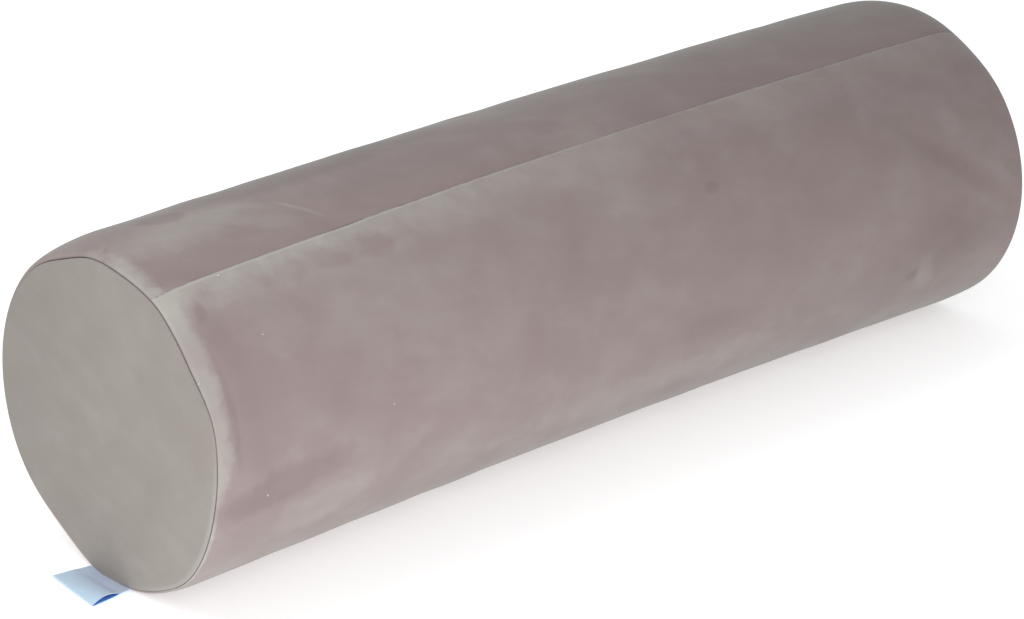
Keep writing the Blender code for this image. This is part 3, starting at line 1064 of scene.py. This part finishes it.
    def map_wrap(self, data: bpy.types.Mesh, rings: np.ndarray, offsets: np.ndarray) -> None:
        """Map the wrap: u along the roll, v round it from the long seam, with no break but at that seam."""
        columns = len(offsets)
        corner = MeshMaker.read(data.loops, "vertex_index")
        starts = MeshMaker.read(data.polygons, "loop_start")
        counts = MeshMaker.read(data.polygons, "loop_total")
        total = rings.shape[0] * columns
        column = np.where(corner < total, corner % columns, columns // 2)
        highest = np.maximum.reduceat(column, starts)
        lowest = np.minimum.reduceat(column, starts)
        crosses = (highest == columns - 1) & (lowest == 0)
        wraps = np.repeat(crosses, counts) & (column == 0) & (corner < total)
        turn = np.where(wraps, 360.0, offsets[column])
        u = np.zeros(len(data.vertices) * 3)
        data.vertices.foreach_get("co", u)
        along = u.reshape(-1, 3)[corner, 0]
        MeshMaker.map_cloth(data, np.stack([along, np.radians(turn) * self.roll.radius], axis=-1))


@dataclass
class EndPanel:
    """A round velvet panel stretched over one end of the roll and sewn into its seam."""

    roll: RollForm
    end: End
    name: str
    node: str
    finish: VelvetFinish
    columns: int = 224
    rings: int = 26
    rim_rounding: float = 0.0004
    rim_steps: int = 4
    thickness: float = 0.0021
    rim_gap: float = 0.0002
    # Where the rim's painted highlight lies: centred on the lower front.
    painted_rim_light_angle: float = 218.0
    painted_rim_light_spread: float = 34.0
    painted_rim_light_width: float = 0.013
    pucker_depth: float = 0.00022
    pucker_waves: tuple[int, ...] = (23, 37, 52, 71)
    pucker_power: int = 14
    ring_crowding: float = 1.6
    back_inset: float = 0.0003
    back_shares: tuple[float, ...] = (0.9, 0.5)
    seed: int = 3

    def puckers(self, angle: np.ndarray, share: float) -> np.ndarray:
        """Return how far the sewing draws the panel in near its rim, at angles round it."""
        rng = np.random.default_rng(self.seed)
        waves = sum(np.cos(count * np.radians(angle) + rng.uniform(0, 2 * math.pi))
                    for count in self.pucker_waves)
        return self.pucker_depth * (0.5 + 0.5 * waves / len(self.pucker_waves)) * share ** self.pucker_power

    def lay_painted_rim_light(self, data: bpy.types.Mesh, angle: np.ndarray, shares: np.ndarray, count: int) -> None:
        """Mark on the mesh where a highlight is painted on the rim: along its lower front edge, over the seam
        groove's shade.
        """
        pile = np.zeros(count, dtype=np.float32)
        lower_front = bell(angle_apart(angle, self.painted_rim_light_angle), self.painted_rim_light_spread)
        face = np.outer(bell(1.0 - shares, self.painted_rim_light_width), lower_front).ravel()
        pile[:len(face)] = face
        pile[len(face):len(face) + self.columns * self.rim_steps] = np.tile(lower_front, self.rim_steps)
        layer = data.attributes.new(name=PAINTED_RIM_LIGHT, type="FLOAT", domain="POINT")
        layer.data.foreach_set("value", pile)

    def build(self) -> bpy.types.Object:
        """Build the panel and log its face count."""
        roll, end = self.roll, self.roll.at(self.end)
        angle = 360.0 * np.arange(self.columns) / self.columns
        face = roll.half_length
        rings = []
        shares = 1.0 - (1.0 - np.arange(1, self.rings + 1) / self.rings) ** self.ring_crowding
        for share in shares:
            ring = roll.end_ring(end, angle, roll.dome_x(end, 0.0, share), share, -self.rim_rounding * share)
            ring[:, 0] -= end.side * self.puckers(angle, share)
            rings.append(ring)
        for step in range(1, self.rim_steps + 1):
            turn = 0.5 * math.pi * step / self.rim_steps
            x = end.side * (face - self.rim_rounding * (1.0 - math.cos(turn)))
            out = self.rim_gap - self.rim_rounding * (1.0 - math.sin(turn))
            ring = roll.end_ring(end, angle, x, 1.0, out)
            ring[:, 0] -= end.side * self.puckers(angle, 1.0) * (1.0 - step / self.rim_steps)
            rings.append(ring)
        back = end.side * (face - self.thickness)
        rings.append(roll.end_ring(end, angle, back, 1.0, self.rim_gap - self.back_inset))
        for share in self.back_shares:
            rings.append(roll.end_ring(end, angle, roll.dome_x(end, self.thickness, share), share, 0.0))
        tips = []
        for depth in (0.0, self.thickness):
            tip = roll.end_ring(end, np.zeros(1), roll.dome_x(end, depth, 0.0), 0.0, 0.0)[0]
            tips.append(tip)
        points, faces = MeshMaker.skin(np.stack(rings), *tips)
        data = MeshMaker.mesh(self.name, points, faces, flip=self.end is End.FAR)
        self.lay_painted_rim_light(data, angle, shares, len(points))
        corner = MeshMaker.read(data.loops, "vertex_index")
        MeshMaker.map_cloth(data, points[corner][:, 1:])
        data.materials.append(self.finish)
        piece = MeshMaker.place(self.name, data)
        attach(piece, BODY)
        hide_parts(self.node)
        log_piece(piece)
        return piece


@dataclass
class LabelRibbon:
    """A short ribbon folded in two, with both ends sewn into the near end seam."""

    roll: RollForm
    face: RibbonFinish
    back: RibbonFinish
    width: float = 0.0330
    reach: float = 0.0244
    turn: float = -0.95
    centre_y: float = 0.0007
    ply: float = 0.00036
    fold_radius: float = 0.00050
    back_lift: float = 0.0046
    arch_front: float = 0.0020
    arch_back: float = 0.0
    arch_lean: float = 0.90
    closed_share: float = 0.27
    root_gap: float = 0.0003
    below_seam: float = 0.0009
    tuck: float = 0.0006
    slices: int = 28
    lower_steps: int = 18
    fold_steps: int = 8
    upper_steps: int = 26

    def seam_height(self, y: float) -> float:
        """Return the height of the near end seam above the floor, at y under the roll."""
        end = self.roll.near
        aside = (y - self.roll.axis_shift_y(self.roll.half_length)) / end.radius
        angle = -90.0 + math.degrees(math.asin(aside))
        ring = self.roll.end_ring(end, np.array([angle]), 0.0, 1.0, 0.0)
        return float(ring[0, 2])

    def path(self, reach: float, root: float, fold: float, arch: float) -> np.ndarray:
        """Return the ribbon's middle line as (outward, height), from the lower root to the upper root.

        Args:
            reach: how far the fold stands out of the seam.
            root: the seam's height.
            fold: the fold's height.
            arch: how far the upper ply bows up.

        Returns:
            The line's points.
        """
        straight = reach - self.fold_radius - self.ply / 2
        points = []
        for step in range(self.lower_steps + 1):
            share = step / self.lower_steps
            middle = root + (fold - root) * share
            points.append((straight * share, middle - self.half_gap(share)))
        for step in range(1, self.fold_steps):
            around = math.pi * (step / self.fold_steps - 0.5)
            out, up = self.fold_radius * math.cos(around), self.fold_radius * math.sin(around)
            points.append((straight + out, fold + up))
        for step in range(self.upper_steps + 1):
            share = step / self.upper_steps
            middle = fold + (root - fold) * share
            open_share = min(1.0, share / (1.0 - self.closed_share))
            lift = arch * math.sin(math.pi * open_share ** self.arch_lean)
            points.append((straight * (1.0 - share), middle + self.half_gap(1.0 - share) + lift))
        return np.array(points)

    def half_gap(self, share: float) -> float:
        """Return how far each ply's middle lies from the line between them, by its share out of the seam."""
        opened = (share - self.closed_share) / (1.0 - self.closed_share)
        return self.fold_radius * min(1.0, max(0.4, 0.4 + 2.4 * opened))

    def slice_points(self, across: float) -> tuple[np.ndarray, np.ndarray]:
        """Return one slice's outer and inner face points, across the ribbon."""
        turn = math.radians(self.turn)
        root_x = -self.roll.half_length - self.root_gap
        fold_x = root_x - self.reach * math.cos(turn) + across * math.sin(turn)
        reach = (root_x - fold_x) / math.cos(turn)
        root_y = self.centre_y + self.roll.axis_shift_y(self.roll.half_length) + across / math.cos(turn)
        toward_back = across / self.width + 0.5
        arch = self.arch_front + (self.arch_back - self.arch_front) * toward_back
        lowest = self.fold_radius + self.ply / 2 + 0.00005
        fold = lowest + self.back_lift * toward_back
        root = max(lowest, self.seam_height(root_y) - self.below_seam)
        line = self.path(reach, root, fold, arch)
        ahead = np.gradient(line, axis=0)
        ahead /= np.linalg.norm(ahead, axis=1, keepdims=True)
        normal = np.stack([-ahead[:, 1], ahead[:, 0]], axis=-1)
        faces = []
        for distance in (-self.ply / 2, self.ply / 2):
            moved = line + normal * distance
            out = moved[:, 0]
            x = root_x - out * math.cos(turn)
            ends = np.isin(np.arange(len(x)), (0, len(x) - 1))
            x = np.where(ends, root_x + self.tuck, x)
            y = root_y + out * math.sin(turn)
            faces.append(np.stack([x, y, np.maximum(moved[:, 1], 0.00002)], axis=-1))
        return faces[0], faces[1]

    def build(self) -> bpy.types.Object:
        """Build the label and log its length and face count."""
        slices = [self.slice_points(self.width * (index / self.slices - 0.5))
                  for index in range(self.slices + 1)]
        outer = np.stack([pair[0] for pair in slices])
        inner = np.stack([pair[1] for pair in slices])
        points, faces, sides, places = self.skin(outer, inner)
        data = bpy.data.meshes.new("ribbon_label")
        data.from_pydata(points.tolist(), [], faces)
        data.materials.append(self.face.build())
        data.materials.append(self.back.build())
        data.polygons.foreach_set("material_index", sides)
        MeshMaker.map_cloth(data, np.concatenate(places))
        data.shade_smooth()
        data.set_sharp_from_angle(angle=math.radians(50))
        piece = MeshMaker.place("ribbon_label", data)
        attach(piece, BODY)
        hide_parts("label_loop")
        length = float(np.linalg.norm(np.diff((outer + inner)[self.slices // 2] / 2, axis=0), axis=1).sum())
        LOG.info("%s: ribbon %.1f mm long, %d faces", piece.name, length * 1e3, len(data.polygons))
        return piece

    def skin(self, outer: np.ndarray, inner: np.ndarray) -> tuple[np.ndarray, list, list, list]:
        """Close the ribbon's two faces into one body.

        Args:
            outer: outer face points as (slice, step, 3).
            inner: inner face points as (slice, step, 3).

        Returns:
            The points, the faces, each face's material index, and the cloth places of its corners.
        """
        across, along = outer.shape[:2]
        points = np.concatenate([outer.reshape(-1, 3), inner.reshape(-1, 3)])
        shift = across * along
        step_length = np.linalg.norm(np.diff(outer[0], axis=0), axis=1)
        run = np.concatenate([[0.0], np.cumsum(step_length)])
        wide = self.width * np.arange(across) / (across - 1)
        faces, sides, places = [], [], []

        def put(corners: list[tuple[int, int, int]], side: int) -> None:
            """Add one face from its (layer, slice, step) corners."""
            faces.append([layer * shift + row * along + column for layer, row, column in corners])
            sides.append(side)
            places.append(np.array([(wide[row], run[column]) for _, row, column in corners]))

        for row in range(across - 1):
            for column in range(along - 1):
                here, beside = (row, column), (row, column + 1)
                over, across_from = (row + 1, column + 1), (row + 1, column)
                put([(0, *here), (0, *across_from), (0, *over), (0, *beside)], 0)
                put([(1, *here), (1, *beside), (1, *over), (1, *across_from)], 1)
            for column, order in ((0, 1), (along - 1, -1)):
                end_face = [(0, row, column), (1, row, column), (1, row + 1, column), (0, row + 1, column)]
                put(end_face[::order], 0)
        for column in range(along - 1):
            for row, order in ((0, 1), (across - 1, -1)):
                edge_face = [(0, row, column), (0, row, column + 1), (1, row, column + 1), (1, row, column)]
                put(edge_face[::order], 0)
        return points, faces, sides, places


@dataclass
class StitchRow:
    """A row of sewing stitches along a path, made with Geometry Nodes."""

    name: str
    path: np.ndarray
    closed: bool
    material: bpy.types.Material
    slot: str
    pitch: float = 0.0032
    stitch_length: float = 0.0026
    thread_radius: float = 0.00022
    seed: int = 7

    def placed(self, board: NodeBoard, given: object) -> tuple[Socket, Socket]:
        """Return the points that get a thread, evenly spaced along the path, and the way each one lies."""
        curve = board.feed(board.add("GeometryNodeMeshToCurve"), Mesh=given["Geometry"])
        steps = board.add("GeometryNodeCurveToPoints", mode="LENGTH")
        board.feed(steps, Curve=curve.outputs["Curve"], Length=given["Pitch"])
        heading = board.add("FunctionNodeAlignRotationToVector", axis="Z")
        board.feed(heading, Vector=steps.outputs["Tangent"])
        return steps.outputs["Points"], heading.outputs["Rotation"]

    def tree(self) -> bpy.types.NodeTree:
        """Return the tree that sets one short thread at each of its places."""
        tree = bpy.data.node_groups.new(f"{self.name}_stitches", "GeometryNodeTree")
        tree.interface.new_socket("Geometry", in_out="INPUT", socket_type="NodeSocketGeometry")
        for label in ("Pitch", "Stitch Length", "Thread Radius"):
            tree.interface.new_socket(label, in_out="INPUT", socket_type="NodeSocketFloat")
        tree.interface.new_socket("Seed", in_out="INPUT", socket_type="NodeSocketInt")
        tree.interface.new_socket("Geometry", in_out="OUTPUT", socket_type="NodeSocketGeometry")
        board = NodeBoard(tree)
        given = board.add("NodeGroupInput").outputs
        points, rotation = self.placed(board, given)
        thread = board.add("GeometryNodeMeshUVSphere")
        board.feed(thread, Segments=6, Rings=5, Radius=0.5)
        size = board.add("ShaderNodeCombineXYZ")
        board.feed(size, X=board.product(given["Thread Radius"], 2.0),
                   Y=board.product(given["Thread Radius"], 2.0), Z=given["Stitch Length"])
        vary = board.add("FunctionNodeRandomValue", data_type="FLOAT")
        board.tree.links.new(given["Seed"], vary.inputs["Seed"])
        vary.inputs[2].default_value = 0.86
        vary.inputs[3].default_value = 1.08
        scaled = board.scaled(size.outputs["Vector"], vary.outputs[1])
        sewn = board.add("GeometryNodeInstanceOnPoints")
        board.feed(sewn, Points=points, Instance=thread.outputs["Mesh"], Rotation=rotation,
                   Scale=scaled)
        real = board.feed(board.add("GeometryNodeRealizeInstances"), Geometry=sewn.outputs["Instances"])
        dressed = board.feed(board.add("GeometryNodeSetMaterial"), Geometry=real.outputs["Geometry"],
                             Material=self.material)
        board.feed(board.add("NodeGroupOutput"), Geometry=dressed.outputs["Geometry"])
        return tree

    def build(self) -> bpy.types.Object:
        """Build the row and log its face count."""
        values = {"Pitch": self.pitch, "Stitch Length": self.stitch_length,
                  "Thread Radius": self.thread_radius, "Seed": self.seed}
        piece = grown_piece(self.name, self.path, self.closed, self.tree(), values)
        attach(piece, BODY)
        log_piece(piece)
        return piece


@dataclass
class LintSpecks(StitchRow):
    """A few short pale fibres that cling to the pile, turned every way."""

    stitch_length: float = 0.0012
    thread_radius: float = 0.00028
    seed: int = 4

    def placed(self, board: NodeBoard, given: object) -> tuple[Socket, Socket]:
        """Return the path's own points, and a random turn for each fibre."""
        spin = board.add("FunctionNodeRandomValue", data_type="FLOAT_VECTOR")
        spin.inputs[1].default_value = (math.tau, math.tau, math.tau)
        board.tree.links.new(given["Seed"], spin.inputs["Seed"])
        turned = board.feed(board.add("FunctionNodeEulerToRotation"), Euler=spin.outputs[0])
        return given["Geometry"], turned.outputs["Rotation"]


def grown_piece(name: str, path: np.ndarray, closed: bool, tree: bpy.types.NodeTree,
                values: dict[str, float]) -> bpy.types.Object:
    """Grow a Geometry Nodes tree on a path and turn the result into a plain mesh object.

    Args:
        name: the piece's name.
        path: the points of the path.
        closed: whether the path's last point joins its first.
        tree: the tree, whose inputs have names.
        values: the value of each named input.

    Returns:
        The plain piece, with no modifier.
    """
    data = bpy.data.meshes.new(f"{name}_path")
    edges = [(index, index + 1) for index in range(len(path) - 1)]
    if closed:
        edges.append((len(path) - 1, 0))
    data.from_pydata(path.tolist(), edges, [])
    guide = MeshMaker.place(f"{name}_path", data)
    grow = guide.modifiers.new(name, "NODES")
    grow.node_group = tree
    for item in tree.interface.items_tree:
        if item.in_out == "INPUT" and item.name in values:
            grow[item.identifier] = values[item.name]
    depsgraph = bpy.context.evaluated_depsgraph_get()
    plain = bpy.data.meshes.new_from_object(guide.evaluated_get(depsgraph), depsgraph=depsgraph)
    plain.name = name
    guide.modifiers.remove(grow)
    bpy.data.objects.remove(guide, do_unlink=True)
    plain.shade_smooth()
    return MeshMaker.place(name, plain)


@dataclass
class SeamThreads:
    """The stitches that close the two end seams and the long seam."""

    roll: RollForm
    material: bpy.types.Material
    end_depth: float = 0.0017
    long_depth: float = 0.0009
    path_points: int = 240

    def end_path(self, end: RollEnd) -> np.ndarray:
        """Return the path of an end seam's stitches, down in the groove between panel and lip."""
        angle = 360.0 * np.arange(self.path_points) / self.path_points
        x = end.side * (self.roll.half_length - self.end_depth)
        return self.roll.end_ring(end, angle, x, 1.0, 0.5 * self.roll.piece_gap)

    def long_path(self) -> np.ndarray:
        """Return the path of the long seam's stitches, down in its groove."""
        x = np.linspace(-self.roll.half_length + 0.004, self.roll.half_length - 0.004, self.path_points)
        return self.roll.surface(x, self.roll.seam_angle(x), proud=-self.long_depth)

    def build(self) -> list[bpy.types.Object]:
        """Build the three rows of stitches."""
        rows = (
            ("near_seam_stitches", self.end_path(self.roll.near), True),
            ("far_seam_stitches", self.end_path(self.roll.far), True),
            ("long_seam_stitches", self.long_path(), False),
        )
        return [StitchRow(name, path, closed, self.material, "wrap_velvet").build()
                for name, path, closed in rows]


@dataclass(frozen=True)
class SoftBox:
    """A square studio light, aimed at a point."""

    name: str
    place: Triple
    size: float
    power: float
    colour: Triple = (1.0, 1.0, 1.0)
    aim: Triple = (0.0, 0.0, 0.08)

    def build(self) -> bpy.types.Object:
        """Put the light in the scene."""
        data = bpy.data.lights.new(self.name, "AREA")
        data.shape = "SQUARE"
        data.size = self.size
        data.energy = self.power
        data.color = self.colour
        lamp = bpy.data.objects.new(self.name, data)
        lamp.location = self.place
        lamp.rotation_euler = (Vector(self.aim) - Vector(self.place)).to_track_quat("-Z", "Y").to_euler()
        lamp.visible_camera = False
        bpy.context.scene.collection.objects.link(lamp)
        return lamp


@dataclass
class Studio:
    """The pale floor, the soft light and the camera."""

    floor_size: float = 14.0
    world_strength: float = 0.62
    world_colour: Triple = (1.0, 1.0, 1.0)
    camera_place: Triple = (-1.37954, -1.49715, 0.90786)
    camera_tilt: float = 67.548
    camera_turn: float = -42.336
    lens: float = 139.06
    lights: tuple[SoftBox, ...] = field(default_factory=lambda: (
        SoftBox("front_box", place=(-1.5, -1.9, 1.6), size=1.2, power=12.0),
        SoftBox("low_front_box", place=(-1.0, -2.2, 0.8), size=1.2, power=12.0),
        SoftBox("back_top_box", place=(-1.1, 0.9, 2.1), size=1.6, power=15.0),
    ))

    def build(self) -> None:
        """Build the floor, the world, the lights and the camera."""
        self.build_floor()
        self.build_world()
        for light in self.lights:
            light.build()
        self.build_camera()
        view = bpy.context.scene.view_settings
        view.view_transform = "Standard"
        view.look = "None"
        view.exposure = 0.0
        view.gamma = 1.0

    def build_floor(self) -> None:
        """Lay the pale floor."""
        half = self.floor_size / 2
        corners = [(-half, -half, 0.0), (half, -half, 0.0), (half, half, 0.0), (-half, half, 0.0)]
        data = bpy.data.meshes.new("floor")
        data.from_pydata(corners, [], [(0, 1, 2, 3)])
        data.materials.append(FloorFinish().build())
        floor = MeshMaker.place("floor", data)

    def build_world(self) -> None:
        """Light the scene softly from all round."""
        world = bpy.data.worlds.new("studio")
        bpy.context.scene.world = world
        world.use_nodes = True
        background = world.node_tree.nodes["Background"]
        background.inputs["Color"].default_value = (*self.world_colour, 1.0)
        background.inputs["Strength"].default_value = self.world_strength

    def build_camera(self) -> None:
        """Put the camera where the photograph was taken."""
        data = bpy.data.cameras.new("camera")
        data.lens = self.lens
        data.sensor_width = 36.0
        data.clip_end = 60.0
        camera = bpy.data.objects.new("camera", data)
        camera.location = self.camera_place
        camera.rotation_euler = (math.radians(self.camera_tilt), 0.0, math.radians(self.camera_turn))
        bpy.context.scene.collection.objects.link(camera)
        bpy.context.scene.camera = camera


def main() -> None:
    """Build the cushion's pieces, their finishes and the studio round them."""
    logging.basicConfig(level=logging.INFO, format="%(name)s: %(message)s")
    finishes = Finishes()
    studio = Studio()
    studio.build()
    WrappedVelvet(ROLL, finishes.wrap).build()
    end_velvet = finishes.ends.build()
    EndPanel(ROLL, End.NEAR, "velvet_panel_near", "end_panel_near", end_velvet).build()
    EndPanel(ROLL, End.FAR, "velvet_panel_far", "end_panel_far", end_velvet).build()
    LabelRibbon(ROLL, finishes.label_face, finishes.label_back).build()
    SeamThreads(ROLL, finishes.thread.build()).build()
    specks = ROLL.surface(*np.array(LINT_PLACES).T, proud=LINT_PROUD)
    LintSpecks("lint_specks", specks, False, finishes.lint.build(), "wrap_velvet").build()


if __name__ == "__main__":
    main()
